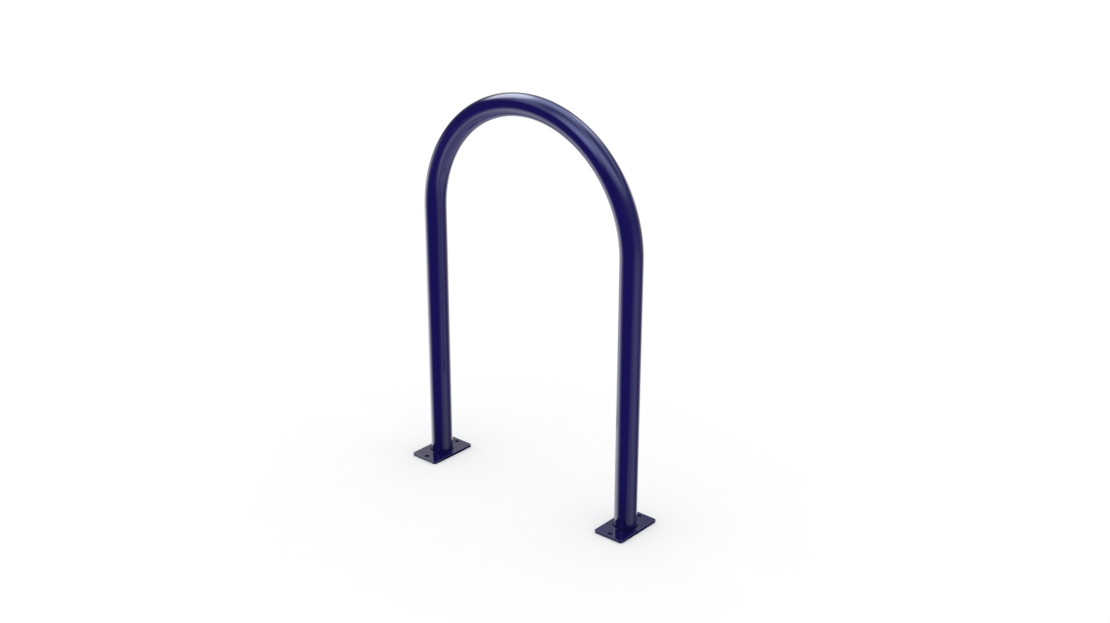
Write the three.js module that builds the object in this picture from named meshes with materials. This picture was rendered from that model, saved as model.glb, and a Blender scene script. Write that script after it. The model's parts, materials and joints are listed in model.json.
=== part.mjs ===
// Hoop bike rack: one round steel tube bent into a hoop, welded to two bolt-down foot plates.
// Millimetres, +Z up. The hoop stands in the XZ plane, and the origin is on the ground midway
// between its two feet.

import * as THREE from 'three';

// The hoop
const tubeDiameter = 50.8; // outside
const tubeWall = 3.05;
const legCentres = 558.8; // from one leg's centreline to the other's
const legStraight = 609.6; // from the plate's top face up to where the bend starts

// The foot plates, which are longest across the hoop
const plateSideMargin = 12.7; // from the tube out to each long edge
const plateEndMargin = 38.1; // from the tube out to each short edge
const plateThickness = 6.35;
const plateCornerRadius = 6.35;
const plateEdgeBevel = 0.8; // on every edge, those of the holes too
const boltHoleDiameter = 11; // at mid thickness, for an M10 anchor
const boltHoleInset = 12; // from a short edge in to the hole's centre
const ventHoleDiameter = 12; // under the tube's bore, for draining and coating

// The fillet welds
const weldLegLength = 3; // up the tube, and out over the plate
const weldCrown = 0.5; // how far its face bulges past a straight one
const weldRootGap = 0.3; // left between the weld and the tube

// How finely the round shapes are divided
const tubeSides = 36;
const boreSides = 24;
const bendSteps = 36;
const plateArcSteps = 8;
const weldFaceSteps = 4;

// How rough the coat is on each kind of piece, from 0 for a mirror to 1
const tubeRoughness = 0.2;
const plateRoughness = 0.25;
const weldRoughness = 0.35;

// Worked out from the sizes above
const bendRadius = legCentres / 2;
const springHeight = plateThickness + legStraight; // where the legs end and the bend starts
const plateWidth = tubeDiameter + 2 * plateSideMargin; // along the hoop
const plateLength = tubeDiameter + 2 * plateEndMargin; // across the hoop
const boltHoleReach = plateLength / 2 - boltHoleInset; // from the leg's centreline
const legCount = 2;
const pathSteps = bendSteps + legCount; // one step along each straight leg

/** A piece in the navy powder coat, which is glossiest where the steel under it is smoothest. */
function coatedPiece(name, geometry, roughness) {
  const coat = new THREE.MeshStandardMaterial({ color: 0x191155, roughness, metalness: 0 });
  const mesh = new THREE.Mesh(geometry, coat);
  mesh.name = name;
  return mesh;
}

/** The corners of a regular polygon inside a circle about the origin. */
function circlePoints(radius, sides) {
  return Array.from({ length: sides }, (_, i) => {
    const angle = (2 * Math.PI * i) / sides;
    return new THREE.Vector2(radius * Math.cos(angle), radius * Math.sin(angle));
  });
}

/**
 * The tube's centreline: up one leg, half a turn over the top, and down the other leg. A straight
 * leg takes one step, and the bend takes bendSteps even ones, so rings stand only where the shape
 * needs them.
 */
class HoopCentreline extends THREE.Curve {
  /** How far round the bend u is, from 0 at one leg to pi at the other. */
  turnAt(u) {
    return Math.PI * THREE.MathUtils.clamp((u * pathSteps - 1) / bendSteps, 0, 1);
  }

  getPointAt(u, target = new THREE.Vector3()) {
    const step = u * pathSteps;
    const turn = this.turnAt(u);
    const downTheLeg = Math.max(1 - step, step - (pathSteps - 1), 0) * legStraight;
    const x = -bendRadius * Math.cos(turn);
    const z = springHeight + bendRadius * Math.sin(turn) - downTheLeg;
    return target.set(x, 0, z);
  }

  getTangentAt(u, target = new THREE.Vector3()) {
    const turn = this.turnAt(u);
    return target.set(Math.sin(turn), 0, Math.cos(turn));
  }
}

/** The hoop: one tube, open at both ends, standing on the two plates. */
function hoopTube() {
  const section = new THREE.Shape(circlePoints(tubeDiameter / 2, tubeSides));
  section.holes.push(new THREE.Path(circlePoints(tubeDiameter / 2 - tubeWall, boreSides)));
  const geometry = new THREE.ExtrudeGeometry(section, {
    steps: pathSteps,
    extrudePath: new HoopCentreline(),
  });
  return coatedPiece('hoop_tube', geometry, tubeRoughness);
}

/** A foot plate: a rectangle with round corners, a bolt hole near each end and a vent hole. */
function footPlate(name) {
  const cornerX = plateWidth / 2 - plateCornerRadius;
  const cornerY = plateLength / 2 - plateCornerRadius;
  const quarter = Math.PI / 2;
  const outline = new THREE.Shape();
  outline.absarc(cornerX, cornerY, plateCornerRadius, 0, quarter);
  outline.absarc(-cornerX, cornerY, plateCornerRadius, quarter, 2 * quarter);
  outline.absarc(-cornerX, -cornerY, plateCornerRadius, 2 * quarter, 3 * quarter);
  outline.absarc(cornerX, -cornerY, plateCornerRadius, 3 * quarter, 4 * quarter);

  const holes = [
    { y: -boltHoleReach, diameter: boltHoleDiameter },
    { y: 0, diameter: ventHoleDiameter },
    { y: boltHoleReach, diameter: boltHoleDiameter },
  ];
  for (const { y, diameter } of holes) {
    outline.holes.push(new THREE.Path().absarc(0, y, diameter / 2, 0, 2 * Math.PI));
  }

  const geometry = new THREE.ExtrudeGeometry(outline, {
    depth: plateThickness - 2 * plateEdgeBevel,
    curveSegments: plateArcSteps,
    bevelSegments: 1,
    bevelThickness: plateEdgeBevel,
    bevelSize: plateEdgeBevel,
    bevelOffset: -plateEdgeBevel,
  });
  geometry.translate(0, 0, plateEdgeBevel);
  return coatedPiece(name, geometry, plateRoughness);
}

/** A fillet weld: a ring round the foot of a leg that fills the corner between tube and plate. */
function footWeld(name) {
  const innerRadius = tubeDiameter / 2 + weldRootGap;
  const profile = [new THREE.Vector2(innerRadius, 0)];
  for (let i = 0; i <= weldFaceSteps; i += 1) {
    const t = i / weldFaceSteps; // from the toe on the plate to the toe on the tube
    const bulge = (weldCrown / Math.SQRT2) * Math.sin(Math.PI * t);
    const out = (1 - t) * weldLegLength + bulge;
    const up = t * weldLegLength + bulge;
    profile.push(new THREE.Vector2(innerRadius + out, up));
  }
  profile.push(profile[0].clone());
  const geometry = new THREE.LatheGeometry(profile, tubeSides);
  geometry.rotateX(Math.PI / 2); // from round the Y axis to round the Z axis
  const weld = coatedPiece(name, geometry, weldRoughness);
  weld.position.z = plateThickness;
  return weld;
}

/** One foot: its plate and its weld, about the leg's centreline. */
function foot(side, x) {
  const group = new THREE.Group();
  group.add(footPlate(`${side}_foot_plate`), footWeld(`${side}_foot_weld`));
  group.position.x = x;
  return group;
}

const rack = new THREE.Group();
rack.name = 'hoop_bike_rack';
rack.add(hoopTube(), foot('left', -legCentres / 2), foot('right', legCentres / 2));

export default rack;
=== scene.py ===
# %% [markdown]
# # A hoop bike rack in gloss navy powder coat
#
# The rack is one round steel tube, bent into a hoop and welded to two foot plates that bolt down
# to the ground. The whole frame is then powder coated, so one deep navy gloss covers tube, welds
# and plates alike. The lesson measures the CAD model, sets the camera, makes each piece as a
# surface worked out with numpy, mixes the coat, and lights it all like a studio.

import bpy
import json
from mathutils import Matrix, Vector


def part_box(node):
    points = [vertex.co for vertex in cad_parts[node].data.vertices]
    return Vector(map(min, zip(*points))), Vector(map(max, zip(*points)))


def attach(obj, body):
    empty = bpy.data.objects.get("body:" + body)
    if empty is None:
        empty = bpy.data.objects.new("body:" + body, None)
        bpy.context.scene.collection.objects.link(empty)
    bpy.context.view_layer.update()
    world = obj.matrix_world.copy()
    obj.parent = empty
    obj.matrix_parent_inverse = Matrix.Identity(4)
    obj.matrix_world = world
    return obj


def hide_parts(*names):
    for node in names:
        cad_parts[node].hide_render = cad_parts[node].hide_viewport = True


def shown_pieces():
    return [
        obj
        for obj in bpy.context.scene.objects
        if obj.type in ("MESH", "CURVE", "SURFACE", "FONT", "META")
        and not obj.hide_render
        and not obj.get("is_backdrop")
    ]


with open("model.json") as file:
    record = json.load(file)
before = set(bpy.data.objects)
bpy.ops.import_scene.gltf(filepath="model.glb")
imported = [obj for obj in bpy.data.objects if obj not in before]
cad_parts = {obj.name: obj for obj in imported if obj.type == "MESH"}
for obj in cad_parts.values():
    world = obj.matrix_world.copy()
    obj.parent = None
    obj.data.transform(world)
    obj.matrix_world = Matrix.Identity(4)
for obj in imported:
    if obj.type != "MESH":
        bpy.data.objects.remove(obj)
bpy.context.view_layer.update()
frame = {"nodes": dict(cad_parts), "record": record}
print("CAD nodes:", ", ".join(sorted(frame["nodes"])))

# %% Import what the lesson needs
import json
import math

import bpy
import numpy as np
from mathutils import Matrix, Vector
from mathutils.geometry import tessellate_polygon

print(f"Blender {bpy.app.version_string} and numpy {np.__version__}")

# %% [markdown]
# ## Measure the frame
#
# Most sizes are read from the CAD model and never typed again. A node's box gives enough: the
# hoop's box is as deep as the tube is thick, and a half circle of the legs' spacing sits on top of
# the legs. The places of the bolt holes come from the openings in the part's record. The tube's
# wall, the plates' round corners and the holes' sizes are given further on.

# %% Measure the hoop
MM = 0.001
CM = 0.01

tube_low, tube_high = (np.array(corner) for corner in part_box("hoop_tube"))
tube_radius = (tube_high[1] - tube_low[1]) / 2
bend_radius = tube_high[0] - tube_radius
foot_height = tube_low[2]
spring_height = tube_high[2] - tube_radius - bend_radius
leg_length = spring_height - foot_height
print(f"tube {2 * tube_radius / MM:.1f} mm thick, legs {2 * bend_radius / MM:.1f} mm apart")

# %% Measure the feet
SIDES = ("left", "right")

plate_boxes = {}
weld_boxes = {}
foot_middles = {}
for side in SIDES:
    plate_boxes[side] = [np.array(corner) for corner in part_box(f"{side}_foot_plate")]
    weld_boxes[side] = [np.array(corner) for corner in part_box(f"{side}_foot_weld")]
    low, high = plate_boxes[side]
    foot_middles[side] = ((low[0] + high[0]) / 2, 0.0, 0.0)
    width, length, thickness = (high - low) / MM
    print(f"{side} plate: {width:.1f} x {length:.1f} x {thickness:.2f} mm")

bolt_places = {side: [] for side in SIDES}
for opening in frame["record"]["physics"]["openings"]:
    if opening["name"].endswith("bolt_hole"):
        middle = np.mean(opening["box_m"], axis=0)
        bolt_places[opening["name"].split("_")[0]].append(middle[:2])
print("bolt holes, from the record:", {side: len(places) for side, places in bolt_places.items()})

# %% [markdown]
# ## The camera
#
# The photograph was taken from the front right, a little above the top of the hoop. Its vanishing
# lines give the angles, and the picture's width over its focal length gives the lens. The view
# isn't aimed at the rack's middle, so the camera is placed by its own position and its three
# directions.

# %% Place the camera
PICTURE_WIDTH = 1110  # pixels
FOCAL_LENGTH = 1486  # pixels
SENSOR_WIDTH = 36  # mm
CAMERA_AZIMUTH = math.radians(40.31)  # round from the front, towards the right foot
CAMERA_ELEVATION = math.radians(21.78)
CAMERA_ROLL = math.radians(0.21)
CAMERA_PLACE = (2.0017, -2.2705, 1.6445)


def camera_directions(azimuth, elevation, roll):
    """The camera's right, up and back directions, as unit vectors.

    Back points from the scene to the camera. Right is level and square to it, up is square to both,
    and the roll turns right and up about back.
    """
    level = math.cos(elevation)
    back = Vector((math.sin(azimuth) * level, -math.cos(azimuth) * level, math.sin(elevation)))
    right = Vector((math.cos(azimuth), math.sin(azimuth), 0))
    up = back.cross(right)
    tilted_right = math.cos(roll) * right + math.sin(roll) * up
    tilted_up = math.cos(roll) * up - math.sin(roll) * right
    return tilted_right, tilted_up, back


def put_in_scene(name, data):
    """A new object that shows a mesh or a camera, in the scene's own collection."""
    thing = bpy.data.objects.new(name, data)
    bpy.context.scene.collection.objects.link(thing)
    return thing


lens = bpy.data.cameras.new("studio_camera")
lens.sensor_width = SENSOR_WIDTH
lens.lens = SENSOR_WIDTH * FOCAL_LENGTH / PICTURE_WIDTH
camera = put_in_scene("studio_camera", lens)
turn = Matrix(camera_directions(CAMERA_AZIMUTH, CAMERA_ELEVATION, CAMERA_ROLL)).transposed()
camera.matrix_world = Matrix.Translation(CAMERA_PLACE) @ turn.to_4x4()
bpy.context.scene.camera = camera
print(f"a {lens.lens:.1f} mm lens")

# %% [markdown]
# ## Surfaces from grids of points
#
# A tube or a weld is a profile carried along a path, which is a grid: one row for each place along
# the path, and one column for each point of the profile. Numpy works out all the points of a grid
# in one sum. The faces are the same for any grid, so one helper numbers them, and another puts
# points and faces into a mesh and measures the volume that they close in. A volume above zero also
# shows that the faces point outwards.

# %% Number a grid's faces
def grid_faces(rows, columns, rows_close=False):
    """The four corner numbers of each face of a grid whose columns close into rings.

    A corner's number is its row times the columns plus its column. A face joins a corner, the next
    one round its ring, and the same two on the next row.
    """
    row, column = np.meshgrid(
        np.arange(rows if rows_close else rows - 1), np.arange(columns), indexing="ij"
    )
    next_row = (row + 1) % rows
    next_column = (column + 1) % columns
    corners = [
        row * columns + column,
        row * columns + next_column,
        next_row * columns + next_column,
        next_row * columns + column,
    ]
    return np.stack(corners, axis=-1).reshape(-1, 4)


print("two rings of six points are joined by", len(grid_faces(2, 6)), "faces")

# %% Put points and faces into a mesh
SHARP_ANGLE = math.radians(40)  # where two faces bend by more than this, the shading breaks


def enclosed_volume(mesh):
    """The volume inside a closed mesh: a sixth of the sum of a . (b x c) over its triangles."""
    mesh.calc_loop_triangles()
    corners = np.empty(len(mesh.loop_triangles) * 3, np.int32)
    mesh.loop_triangles.foreach_get("vertices", corners)
    places = np.empty(len(mesh.vertices) * 3, np.float32)
    mesh.vertices.foreach_get("co", places)
    a, b, c = places.reshape(-1, 3)[corners.reshape(-1, 3)].astype(float).transpose(1, 0, 2)
    return np.einsum("ij,ij->", a, np.cross(b, c)) / 6


def make_piece(name, points, faces):
    """A smooth-shaded object at the origin, with its place in its mesh."""
    mesh = bpy.data.meshes.new(name)
    mesh.from_pydata(points.reshape(-1, 3).tolist(), [], faces)
    mesh.validate()
    mesh.shade_smooth()
    mesh.set_sharp_from_angle(angle=SHARP_ANGLE)
    volume = enclosed_volume(mesh) / CM**3
    print(f"{name}: {len(mesh.polygons)} faces round {volume:.2f} cubic centimetres")
    return put_in_scene(name, mesh)


# %% [markdown]
# ## The hoop
#
# The hoop is one length of tube. Up the left leg, half a turn over the top, and down the right
# leg, the section stays a circle, so the surface is a circle carried along that path. A Blender
# curve with a bevel would also make it, but it has no bore. Here the grid's rows run up the
# outside wall and come back down the inside one, so the tube is hollow and its two cut ends are
# closed rings.

# %% Make the hoop
TUBE_WALL = 3.05 * MM
OUTSIDE_ROWS = 240
BORE_ROWS = 120
TUBE_COLUMNS = 96


def hoop_path(distance):
    """Points on the tube's middle line, and the way out of the bend at each of them.

    The turn is the distance past the left leg over the bend's radius, held between 0 and half a
    turn. The way out points from the bend's centre at that turn, and the point lies one bend radius
    that way, less what is left of a leg straight below it.
    """
    bend_length = math.pi * bend_radius
    turn = np.clip((distance - leg_length) / bend_radius, 0, math.pi)
    drop = np.maximum(leg_length - distance, 0) + np.maximum(distance - leg_length - bend_length, 0)
    outward = np.stack([-np.cos(turn), np.zeros_like(turn), np.sin(turn)], axis=-1)
    points = bend_radius * outward
    points[:, 2] += spring_height - drop
    return points, outward


def hoop_surface():
    """Rings round the path: out by cos(angle) and to the front by sin(angle), times the radius.

    Turning towards the front, and not the back, is what makes the faces point out of the steel.
    """
    path_length = 2 * leg_length + math.pi * bend_radius
    up = np.linspace(0, path_length, OUTSIDE_ROWS)
    back = np.linspace(path_length, 0, BORE_ROWS)
    radius = np.repeat([tube_radius, tube_radius - TUBE_WALL], [OUTSIDE_ROWS, BORE_ROWS])
    middle, outward = hoop_path(np.concatenate([up, back]))
    angle = np.linspace(0, 2 * math.pi, TUBE_COLUMNS, endpoint=False)
    ring = np.cos(angle)[:, None] * outward[:, None] + np.sin(angle)[:, None] * [0, -1, 0]
    return middle[:, None] + radius[:, None, None] * ring


hoop_faces = grid_faces(OUTSIDE_ROWS + BORE_ROWS, TUBE_COLUMNS, rows_close=True)
hoop = make_piece("hoop", hoop_surface(), hoop_faces.tolist())

# %% [markdown]
# ## The foot plates
#
# Each foot is a rectangle of steel plate with round corners, cut out together with its holes: a
# bolt hole near each end, and a vent hole under the tube, through which the bore drains. A coated
# plate has no knife edge, so a narrow quarter round runs along each rim. Beveling a box would do
# for the outline but not for the holes. A rim is a small profile carried round a loop, and the
# same few lines make the rims of the outline and of the holes. Flat faces then span from rim to
# rim.

# %% Draw the loops that bound a plate
CORNER_RADIUS = 6.35 * MM
BOLT_HOLE_RADIUS = 5.5 * MM
VENT_HOLE_RADIUS = 6 * MM
CORNER_STEPS = 16
HOLE_STEPS = 64


def outline_loop(low, high):
    """The plate's outline, and the way out of the steel at each point.

    Each corner is a quarter circle about a point one corner radius in from both edges, and the
    straight edges are what joins one corner to the next.
    """
    quarter = np.linspace(0, math.pi / 2, CORNER_STEPS + 1)
    angle = (quarter + math.pi / 2 * np.arange(4)[:, None]).ravel()
    outward = np.stack([np.cos(angle), np.sin(angle)], axis=-1)
    diagonal = np.repeat([[1, 1], [-1, 1], [-1, -1], [1, -1]], CORNER_STEPS + 1, axis=0)
    corner = (low + high) / 2 + diagonal * ((high - low) / 2 - CORNER_RADIUS)
    return corner + CORNER_RADIUS * outward, outward


def hole_loop(middle, radius):
    """A hole's edge, run the other way round. The way out of the steel is towards its middle."""
    angle = np.linspace(0, -2 * math.pi, HOLE_STEPS, endpoint=False)
    from_middle = np.stack([np.cos(angle), np.sin(angle)], axis=-1)
    return middle + radius * from_middle, -from_middle


print(f"a loop of {4 * (CORNER_STEPS + 1)} points, and three of {HOLE_STEPS} for the holes")

# %% Make the plates
EDGE_RADIUS = 0.8 * MM
EDGE_STEPS = 5


def rim(loop, outward, low, high):
    """A rim's grid, from the bottom face up to the top one.

    Round each edge the height turns away from the face by one edge radius times 1 - cos(angle), and
    the steel comes out to its full width by one edge radius times 1 - sin(angle).
    """
    angle = np.linspace(0, math.pi / 2, EDGE_STEPS + 1)
    set_in = EDGE_RADIUS * (1 - np.sin(angle))
    climb = EDGE_RADIUS * (1 - np.cos(angle))
    set_in = np.concatenate([set_in, set_in[::-1]])
    height = np.concatenate([low + climb, high - climb[::-1]])
    across = loop - set_in[:, None, None] * outward
    return np.dstack([across, np.broadcast_to(height[:, None], across.shape[:2])])


def plate_points_and_faces(side):
    """All rims of a plate, and flat triangles between them on its two faces.

    The triangles that fill the top face also fill the bottom one, with their corners turned round.
    """
    low, high = plate_boxes[side]
    middle = (low + high)[:2] / 2
    loops = [outline_loop(low[:2], high[:2]), hole_loop(middle, VENT_HOLE_RADIUS)]
    loops += [hole_loop(place, BOLT_HOLE_RADIUS) for place in bolt_places[side]]
    rims = [rim(loop, outward, low[2], high[2]) for loop, outward in loops]
    faces = []
    bottom_corners = []
    top_corners = []
    start = 0
    for grid in rims:
        rows, columns = grid.shape[:2]
        faces += (start + grid_faces(rows, columns)).tolist()
        bottom_corners += range(start, start + columns)
        top_corners += range(start + (rows - 1) * columns, start + rows * columns)
        start += rows * columns
    triangles = np.array(tessellate_polygon([grid[-1].tolist() for grid in rims]))
    faces += np.array(top_corners)[triangles].tolist()
    faces += np.array(bottom_corners)[triangles[:, ::-1]].tolist()
    return np.concatenate([grid.reshape(-1, 3) for grid in rims]), faces


plates = {}
for side in SIDES:
    plates[side] = make_piece(f"{side}_plate", *plate_points_and_faces(side))
    steady = plates[side].modifiers.new("flat_faces_stay_flat", "WEIGHTED_NORMAL")
    steady.keep_sharp = True

# %% [markdown]
# ## The welds
#
# A welder runs a slim fillet round the foot of each leg. The bead cools in small overlapping
# ripples, like coins pushed over, and its width wavers a little with the hand. The molten powder
# then gathers in the corner and hollows the bead's face, so it hardly shows. A torus would be too
# even. Instead the bead's cross-section, a triangle with a hollow face, is carried round the leg,
# and sums of sines move its face in and out.

# %% Make the welds
WELD_COLUMNS = 720
WELD_FACE_ROWS = 13
RIPPLES = 60
RIPPLE_HEIGHT = 0.08 * MM
RIPPLE_BOW = 1.1  # how far, in radians, a ripple's middle runs ahead of its ends
WELD_HOLLOW = 0.8 * MM
WAVER = 0.12 * MM  # how far the bead's width sways, in two rhythms
SLOW_SWAYS = 3  # times round the leg
QUICK_SWAYS = 8
QUICK_SHARE = 0.6  # of the slow sway
QUICK_PHASE = 2.0  # radians
WELD_ROOT = 0.3 * MM  # how far the bead reaches into the tube and the plate
START_BUMP = 0.25 * MM  # where the bead's end laps over its start
START_WIDTH = 0.16  # radians
MEAN_OF_SINE = 2 / math.pi  # of the absolute sine, so that the ripples leave the width as it is


def weld_surface(side, start_angle):
    """A bead's grid: one row for each point of its section, and one column for each angle.

    Across the face, share runs from 0 at the plate to 1 at the tube. The face sinks below the
    straight line between its toes by the hollow times sin(pi share), and comes out again by the
    ripples, which are the absolute sine of half an angle that goes round RIPPLES times, and by the
    bump at the start. It moves as far out from the tube as up from the plate, so each is the whole
    move over the square root of 2.
    """
    low, high = weld_boxes[side]
    middle = (low + high) / 2
    leg = high[2] - low[2]
    angle = np.linspace(0, 2 * math.pi, WELD_COLUMNS, endpoint=False)
    share = np.linspace(0, 1, WELD_FACE_ROWS)[:, None]
    swell = np.sin(math.pi * share)
    slow_sway = np.sin(SLOW_SWAYS * angle + start_angle)
    quick_sway = np.sin(QUICK_SWAYS * angle + QUICK_PHASE)
    ripple = np.abs(np.sin(RIPPLES / 2 * angle + RIPPLE_BOW * swell)) - MEAN_OF_SINE
    from_start = np.angle(np.exp(1j * (angle - start_angle)))
    bump = START_BUMP * np.exp(-((from_start / START_WIDTH) ** 2))
    stand_out = swell * (RIPPLE_HEIGHT * ripple + bump - WELD_HOLLOW) / math.sqrt(2)
    toe = leg + WAVER * (slow_sway + QUICK_SHARE * quick_sway)
    face_radius = tube_radius + (1 - share) * toe + stand_out
    face_height = low[2] + share * toe + stand_out
    level = np.ones_like(angle)
    root_radius = tube_radius - WELD_ROOT
    root_height = low[2] - WELD_ROOT
    radius = np.vstack([root_radius * level, tube_radius + toe, face_radius, root_radius * level])
    height = np.vstack([root_height * level, root_height * level, face_height, face_height[-1:]])
    x = middle[0] + radius * np.cos(angle)
    y = middle[1] + radius * np.sin(angle)
    return np.dstack([x, y, height])


WELD_STARTS = {"left": 2.4, "right": 0.7}  # radians round the leg, from +X towards the back

welds = {}
for side in SIDES:
    bead = weld_surface(side, WELD_STARTS[side])
    bead_faces = grid_faces(bead.shape[0], WELD_COLUMNS, rows_close=True)
    welds[side] = make_piece(f"{side}_weld", bead, bead_faces.tolist())

# %% [markdown]
# ## Sums with sockets
#
# A material is a graph of nodes, and long chains of Math nodes are hard to read as code. So one
# small class wraps an output socket, and ordinary Python sums then add the nodes, as in 1 - mask
# or drift * noise. Another wraps the graph. Its add method makes any other kind of node, and
# colours and directions have sums of their own there, because a Math node would turn a colour
# grey.

# %% Wrap a node tree
class Graph:
    """A node tree that nodes are added to."""

    def __init__(self, tree):
        self.tree = tree
        self.tree.nodes.clear()

    def add(self, kind, settings=None, inputs=None, output=0):
        """A new node with its settings and then its inputs, as the wire of one of its outputs."""
        node = self.tree.nodes.new(kind)
        for name, value in (settings or {}).items():
            setattr(node, name, value)
        for name, value in (inputs or {}).items():
            self.join(value, node.inputs[name])
        return Wire(self, node.outputs[output]) if node.outputs else None

    def join(self, value, socket):
        """Links a wire to a socket, or sets the socket to a plain value."""
        if isinstance(value, Wire):
            self.tree.links.new(value.socket, socket)
        else:
            socket.default_value = value

    def mix_colours(self, factor, first, second):
        """The first colour where the factor is 0, and the second where it is 1."""
        inputs = {0: factor, 6: first, 7: second}
        return self.add("ShaderNodeMix", {"data_type": "RGBA"}, inputs, output=2)

    def mix_shaders(self, factor, first, second):
        """The first shader where the factor is 0, and the second where it is 1."""
        return self.add("ShaderNodeMixShader", None, {0: factor, 1: first, 2: second})

    def sum_colours(self, operation, *colours):
        """A sum on colours, channel by channel."""
        inputs = dict(enumerate(colours))
        return self.add("ShaderNodeVectorMath", {"operation": operation}, inputs)

    def measure(self, operation, first, second):
        """A number that two vectors give, such as the distance between them."""
        inputs = {0: first, 1: second}
        return self.add("ShaderNodeVectorMath", {"operation": operation}, inputs, "Value")


def new_material(name):
    """A material with no nodes yet, and the graph that they are added to."""
    material = bpy.data.materials.new(name)
    material.use_nodes = True
    return material, Graph(material.node_tree)


print("a graph adds nodes, joins them and mixes colours and shaders")

# %% Wrap a socket so that it does sums
class Wire:
    """An output socket that can be added, subtracted, multiplied, raised and compared."""

    def __init__(self, graph, socket):
        self.graph = graph
        self.socket = socket

    def sum(self, operation, first, second):
        """The wire of a Math node that works on two wires or numbers."""
        inputs = {0: first, 1: second}
        return self.graph.add("ShaderNodeMath", {"operation": operation}, inputs)

    def __add__(self, other):
        return self.sum("ADD", self, other)

    def __radd__(self, other):
        return self.sum("ADD", other, self)

    def __sub__(self, other):
        return self.sum("SUBTRACT", self, other)

    def __rsub__(self, other):
        return self.sum("SUBTRACT", other, self)

    def __mul__(self, other):
        return self.sum("MULTIPLY", self, other)

    def __rmul__(self, other):
        return self.sum("MULTIPLY", other, self)

    def __pow__(self, other):
        return self.sum("POWER", self, other)

    def __rpow__(self, other):
        return self.sum("POWER", other, self)

    def __gt__(self, other):
        return self.sum("GREATER_THAN", self, other)

    def __lt__(self, other):
        return self.sum("LESS_THAN", self, other)


print("a wire takes the sums + - * ** > <")

# %% [markdown]
# ## The powder coat
#
# Powder is sprayed on dry and baked until it flows out into one glassy skin. It is a clear film
# full of pigment, so it reflects like plastic and not like metal. It never flows out quite flat:
# seen close, it has the fine swell called orange peel. The colour is a little deeper in large soft
# patches where the film is thicker. One navy covers tube and plates alike. The welds get a deeper
# navy with little sheen: this is painted shade for the dark corner where each leg meets its plate.
# All patterns read Object coordinates, which are metres here because each piece's object
# sits at the origin.

# %% Mix the coat
NAVY = (0.0043, 0.0017, 0.0640, 1)
THICK_NAVY = (0.0036, 0.0013, 0.0575, 1)
# painted shade: the welds' deeper navy darkens the corner where each leg meets its plate
PAINTED_SHADE_NAVY = (0.0030, 0.0011, 0.0400, 1)
THICK_PAINTED_SHADE_NAVY = (0.0026, 0.0009, 0.0350, 1)
TUBE_ROUGHNESS = 0.09
PLATE_ROUGHNESS = 0.12
WELD_ROUGHNESS = 0.25
ROUGHNESS_DRIFT = 0.05  # from one patch to another
PATCH_SIZE = 90 * MM
PATCH_DETAIL = 3.0
PEEL_SIZE = 2.6 * MM
PEEL_DETAIL = 1.0
PEEL_DEPTH = 0.012 * MM
CLEAR_INDEX = 1.5  # refractive index of the resin
CLEAR_SHINE = 0.5  # that of the resin when its skin is whole
LOW_SHINE_FOR_PAINTED_SHADE = 0.04  # low, so the welds mirror little: painted shade at the foot of each leg


def powder_coat(name, thin, thick, roughness, shine):
    """A glossy coat whose colour and roughness drift in soft patches, over an orange peel.

    The patches are a noise between 0 and 1. The colour runs with it from the thin film's to the
    thick one's, and the roughness moves by the drift times the noise less a half.
    """
    material, graph = new_material(name)
    place = graph.add("ShaderNodeTexCoord", output="Object")
    patch_inputs = {"Vector": place, "Scale": 1 / PATCH_SIZE, "Detail": PATCH_DETAIL}
    patch = graph.add("ShaderNodeTexNoise", None, patch_inputs)
    peel_inputs = {"Vector": place, "Scale": 1 / PEEL_SIZE, "Detail": PEEL_DETAIL}
    peel = graph.add("ShaderNodeTexNoise", None, peel_inputs)
    bump_inputs = {"Height": peel, "Strength": 1.0, "Distance": PEEL_DEPTH}
    coat_inputs = {
        "Base Color": graph.mix_colours(patch, thin, thick),
        "Roughness": roughness + ROUGHNESS_DRIFT * (patch - 0.5),
        "IOR": CLEAR_INDEX,
        "Specular IOR Level": shine,
        "Normal": graph.add("ShaderNodeBump", None, bump_inputs),
    }
    coat = graph.add("ShaderNodeBsdfPrincipled", None, coat_inputs)
    graph.add("ShaderNodeOutputMaterial", None, {"Surface": coat})
    print(f"{name}: roughness {roughness}")
    return material


tube_coat = powder_coat("tube_powder_coat", NAVY, THICK_NAVY, TUBE_ROUGHNESS, CLEAR_SHINE)
plate_coat = powder_coat("plate_powder_coat", NAVY, THICK_NAVY, PLATE_ROUGHNESS, CLEAR_SHINE)
# the welds' coat: deeper navy and little shine, as painted shade at the foot of each leg
weld_coat_with_painted_shade = powder_coat(
    "weld_powder_coat", PAINTED_SHADE_NAVY, THICK_PAINTED_SHADE_NAVY, WELD_ROUGHNESS, LOW_SHINE_FOR_PAINTED_SHADE
)

# %% Coat the pieces and fasten them to the frame
def dress(piece, material, slot, *nodes):
    """Coats a piece, and makes it stand for CAD nodes on the one body that everything rides on."""
    piece.data.materials.append(material)
    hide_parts(*nodes)
    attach(piece, "root")


dress(hoop, tube_coat, "tube_powder_coat", "hoop_tube")
for side in SIDES:
    dress(plates[side], plate_coat, "plate_powder_coat", f"{side}_foot_plate")
    dress(welds[side], weld_coat_with_painted_shade, "weld_powder_coat", f"{side}_foot_weld")
print("dressed:", ", ".join(sorted(piece.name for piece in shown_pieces())))
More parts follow.
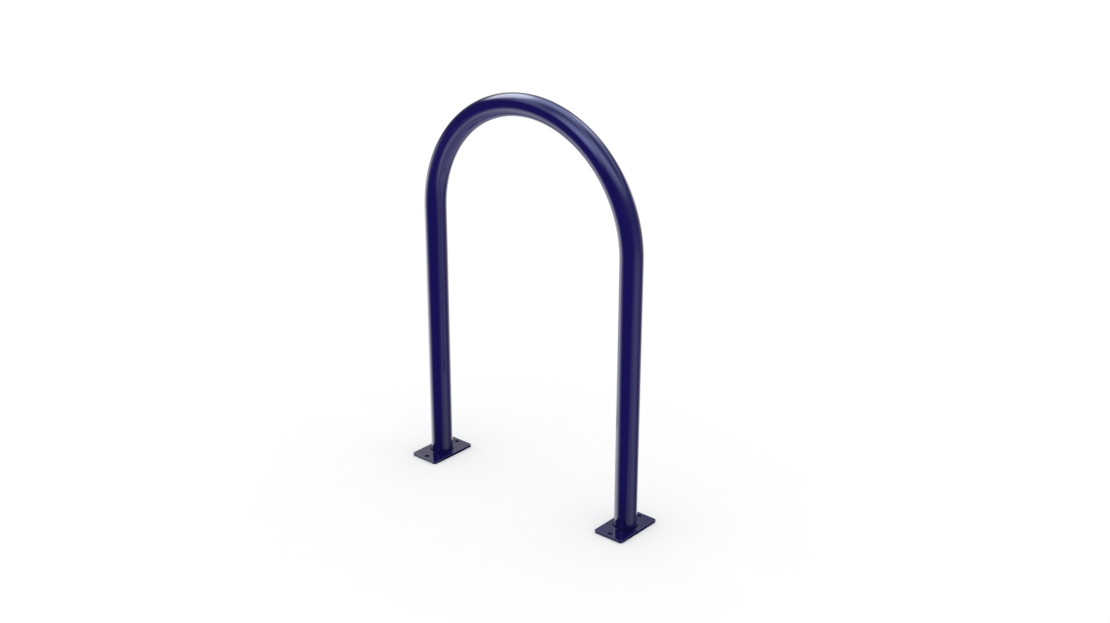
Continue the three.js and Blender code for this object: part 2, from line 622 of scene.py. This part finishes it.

# %% [markdown]
# ## The floor
#
# The rack stands on a plain white floor that runs out of the picture on all sides, and takes the
# rack's soft shadow. The floor also throws light back up at the coat, and the photograph tells how
# much: the coat is bluest under the bend and on the legs, and darkest near the feet and on the
# plates' edges. So this light is bright, but fades out round each foot, as it would over black
# cloth. Real cloth would show, so the light is set on its own: only the rays that gather soft
# light meet it, and all others meet the plain floor. The coat doesn't mirror the floor. What it
# mirrors below the horizon belongs to the studio further on, all but two small black cards under
# the feet: painted shade, standing in for the shadowed floor round each foot. They end the bands on
# the legs just above the plates and keep the bolt holes fairly dark, and only mirror rays meet
# them.

# %% Step softly between two values
def soft_step(graph, value, start, end):
    """0 where the value is at start and before, 1 at end and past it, and smooth between.

    At a share s of the way from one to the other it is 3 s^2 - 2 s^3.
    """
    settings = {"interpolation_type": "SMOOTHSTEP"}
    inputs = {"Value": value, "From Min": min(start, end), "From Max": max(start, end)}
    rise = graph.add("ShaderNodeMapRange", settings, inputs)
    return rise if start < end else 1 - rise


quarter = 0.25
print(f"a quarter of the way along, a soft step is at {3 * quarter**2 - 2 * quarter**3:.2f}")

# %% Measure how far a point is from the feet
def away_from_feet(graph, near, far):
    """0 within near of a foot's middle, 1 further than far from both, and smooth between."""
    place = graph.add("ShaderNodeTexCoord", output="Object")
    away = 1.0
    for middle in foot_middles.values():
        away = away * soft_step(graph, graph.measure("DISTANCE", place, middle), near, far)
    return away


print("feet at x", ", ".join(f"{middle[0]:.4f} m" for middle in foot_middles.values()))

# %% Mix the floor's white
FLOOR_COLOUR = (0.97, 0.97, 0.97, 1)
FLOOR_ROUGHNESS = 0.9
BOUNCED_LIGHT = 1.95  # about twice as bright as the floor looks
DARK_ROUND_FEET = (0.08, 0.26)  # metres from a foot's middle, from full dark to full light

pale, floor_graph = new_material("pale_floor")
pale.cycles.emission_sampling = "NONE"  # the rays that gather light find the floor by themselves
white_inputs = {
    "Base Color": FLOOR_COLOUR, "Roughness": FLOOR_ROUGHNESS, "Specular IOR Level": 0.0
}
white = floor_graph.add("ShaderNodeBsdfPrincipled", None, white_inputs)
unlit = floor_graph.add("ShaderNodeEmission", None, {"Strength": 0.0})
glow = floor_graph.add("ShaderNodeEmission", None, {"Strength": BOUNCED_LIGHT})
away = away_from_feet(floor_graph, *DARK_ROUND_FEET)
bounced = floor_graph.mix_shaders(away, unlit, glow)
gathers = floor_graph.add("ShaderNodeLightPath", output="Is Diffuse Ray")
floor_light = floor_graph.mix_shaders(gathers, white, bounced)
floor_graph.add("ShaderNodeOutputMaterial", None, {"Surface": floor_light})
print(f"a floor of {FLOOR_COLOUR[0]} white that throws up {BOUNCED_LIGHT}")

# %% Lay the floor
FLOOR_HALF = 40.0  # metres
SQUARE = np.array([[-1, -1, 0], [1, -1, 0], [1, 1, 0], [-1, 1, 0]])


def lay_squares(name, middles, half, material):
    """Level squares in one object: each corner is half a side along X and Y from a middle."""
    corners = np.array(middles)[:, None] + half * SQUARE
    faces = np.arange(4 * len(middles)).reshape(-1, 4)
    mesh = bpy.data.meshes.new(name)
    mesh.from_pydata(corners.reshape(-1, 3).tolist(), [], faces.tolist())
    mesh.materials.append(material)
    return put_in_scene(name, mesh)


floor = lay_squares("floor", [(0.0, 0.0, 0.0)], FLOOR_HALF, pale)
floor.visible_glossy = False
floor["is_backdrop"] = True
print(f"a floor {2 * FLOOR_HALF:.0f} m across")

# %% Lay the black cards that the coat mirrors, as painted shade round the feet
CARD_HALF = 0.07  # metres, which leaves room for the faded edge
CARD_EDGE = (0.044, 0.066)  # metres from a foot's middle, from where it fades to where it ends
# painted shade: black where the coat mirrors the floor round each foot, in place of its shadow
PAINTED_SHADE_BLACK = (0.0, 0.0, 0.0, 1)

shade_card_material, card_graph = new_material("painted_shade_card")
black_inputs = {"Base Color": PAINTED_SHADE_BLACK, "Roughness": 1.0, "Specular IOR Level": 0.0}
black = card_graph.add("ShaderNodeBsdfPrincipled", None, black_inputs)
clear = card_graph.add("ShaderNodeBsdfTransparent")
shade_card_light = card_graph.mix_shaders(away_from_feet(card_graph, *CARD_EDGE), black, clear)
card_graph.add("ShaderNodeOutputMaterial", None, {"Surface": shade_card_light})

cards = lay_squares("painted_shade_cards", list(foot_middles.values()), CARD_HALF, shade_card_material)
cards.visible_camera = False
cards.visible_diffuse = False
cards.visible_shadow = False
cards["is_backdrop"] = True
print(f"two black cards, {2 * CARD_EDGE[1] / CM:.1f} cm across, that only mirror rays meet")

# %% [markdown]
# ## The studio
#
# A glossy coat shows its surroundings as much as its own colour, so the lighting is most of the
# look. A product studio has two kinds of kit. A white tent all round sheds even light, which
# leaves only a soft dark pool under each foot. A bluish ceiling, lamps, windows and dark shades
# stand where the coat mirrors them, and draw the bands along the tube. Area lights would have to
# be huge for the first job and many for the second, so both are functions of direction on the
# world's dome. Rays that mirror off the coat meet the lamps, and all others meet the tent.

# %% Describe the tent and the lamps
TENT_LIGHT = 1.05
WHITE = (1.0, 1.0, 1.0, 1)
PLAIN = np.array([1.0, 1.0, 1.0])
DAYLIGHT = np.array([0.97, 1.0, 1.12])
WARM = np.array([1.0, 0.92, 0.64])
SKY = np.array([0.88, 1.01, 1.5])  # the tint of the ceiling and of the shades in front of it
BLUE = np.array([0.86, 1.0, 1.75])
NO_LIGHT = (0.0, 0.0, 0.0)  # a shade takes light away, but never below this
WALL_LIGHT = 0.08
CEILING_LIGHT = 2.95
CEILING_EDGE = (20, 60)  # degrees above the horizon, from where it starts to where it is full
LOWER_LIGHT = 0.85
LOWER_EDGE = (-27, -60)  # the same below the horizon, where pale ground is mirrored
# Each: azimuth from +Y towards +X, elevation, half width and half height (all degrees), how much
# of that half width and height its edge fades over, tint, and brightness, below zero for a shade
SOFT_LIGHTS = {
    "key_behind_left": (-80, 40, 20, 15, 0.3, DAYLIGHT, 5.1),
    "glow_beside_key": (-50, 25, 21, 15, 0.9, WARM, 0.8),
    "shade_beside_key": (-33, 35, 9, 15, 0.9, PLAIN, -0.8),
    "window_behind": (-5, 40, 10, 10, 0.5, PLAIN, 2.2),
    "window_in_front": (185, 45, 15, 22, 0.5, BLUE, 1.85),
    "shade_behind_right": (65, 60, 20, 22, 0.5, SKY, -2.4),
    "shade_in_front_left": (-155, 65, 22, 22, 0.5, SKY, -2.3),
    "pale_rim_in_front": (180, -46, 45, 8, 0.4, PLAIN, 0.9),
    "low_light_left": (-120, -35, 15, 14, 0.8, PLAIN, 1.9),
    "wall_light_left": (-95, -20, 15, 12, 0.9, PLAIN, 3.0),
    "low_light_behind_left": (-65, -30, 15, 15, 0.6, PLAIN, 1.2),
    "glow_right": (82, 30, 38, 22, 0.9, DAYLIGHT, 0.42),
    "low_light_right": (85, -30, 25, 25, 0.9, PLAIN, 0.9),
    "wall_light_behind": (-15, -10, 50, 25, 0.3, PLAIN, 1.6),
    "shade_behind": (20, -10, 15, 15, 0.5, SKY, -0.85),
}
print(f"{len(SOFT_LIGHTS)} soft lights and shades round the rack")

# %% Draw a soft light on the dome
def light_directions(azimuth, elevation):
    """The way to a light's middle, and its right and up, as unit vectors."""
    azimuth = math.radians(azimuth)
    elevation = math.radians(elevation)
    level = math.cos(elevation)
    middle = Vector((math.sin(azimuth) * level, math.cos(azimuth) * level, math.sin(elevation)))
    right = Vector((math.cos(azimuth), -math.sin(azimuth), 0))
    return middle, right, right.cross(middle)


def soft_light(graph, direction, azimuth, elevation, half_width, half_height, fade):
    """An oval patch of the dome: 1 inside its edge and 0 outside it.

    How far the direction goes along the light's right and up, each over the sine of its half size,
    are the short sides of a right-angled triangle. Its long side says how far out the direction
    lies, and is 1 on the oval's edge. The same oval on the far side of the dome is left out.
    """
    middle, right, up = light_directions(azimuth, elevation)
    scaled_right = right / math.sin(math.radians(half_width))
    scaled_up = up / math.sin(math.radians(half_height))
    across = graph.measure("DOT_PRODUCT", direction, scaled_right)
    along = graph.measure("DOT_PRODUCT", direction, scaled_up)
    out = (across * across + along * along) ** 0.5
    this_side = graph.measure("DOT_PRODUCT", direction, middle) > 0.0
    return this_side * soft_step(graph, out, 1 + fade, 1 - fade)


key_way = light_directions(*SOFT_LIGHTS["key_behind_left"][:2])[0]
print("the key light stands towards", ", ".join(f"{part:.2f}" for part in key_way))

# %% Put up the dome and the tent
world = bpy.data.worlds.new("studio")
world.use_nodes = True
world.cycles.sampling_method = "NONE"  # so that every ray that meets the dome is of a known kind
bpy.context.scene.world = world
dome = Graph(world.node_tree)
direction = dome.add("ShaderNodeTexCoord", output="Object")
height = dome.add("ShaderNodeSeparateXYZ", None, {0: direction}, "Z")
tent = dome.add("ShaderNodeBackground", None, {"Color": WHITE, "Strength": TENT_LIGHT})
print(f"a tent of brightness {TENT_LIGHT}")

# %% Light the lamps that the coat mirrors
edges = [math.sin(math.radians(angle)) for angle in (*CEILING_EDGE, *LOWER_EDGE)]
upper = soft_step(dome, height, edges[0], edges[1])
lower = soft_step(dome, height, edges[2], edges[3])
grey = WALL_LIGHT + LOWER_LIGHT * lower
light = dome.sum_colours("MULTIPLY_ADD", upper, CEILING_LIGHT * SKY, grey)
for *shape, tint, brightness in SOFT_LIGHTS.values():
    oval = soft_light(dome, direction, *shape)
    light = dome.sum_colours("MULTIPLY_ADD", oval, brightness * tint, light)
light = dome.sum_colours("MAXIMUM", light, NO_LIGHT)
lamps = dome.add("ShaderNodeBackground", None, {"Color": light})
print(f"a ceiling of brightness {CEILING_LIGHT} over a ground of {WALL_LIGHT + LOWER_LIGHT:.2f}")

# %% Choose the tent or the lamps for each ray
mirrored = dome.add("ShaderNodeLightPath", output="Is Glossy Ray")
dome_light = dome.mix_shaders(mirrored, tent, lamps)
dome.add("ShaderNodeOutputWorld", None, {"Surface": dome_light})
bpy.context.scene.view_settings.view_transform = "Standard"  # so that the tent's white is white
print(f"a dome of {len(world.node_tree.nodes)} nodes")
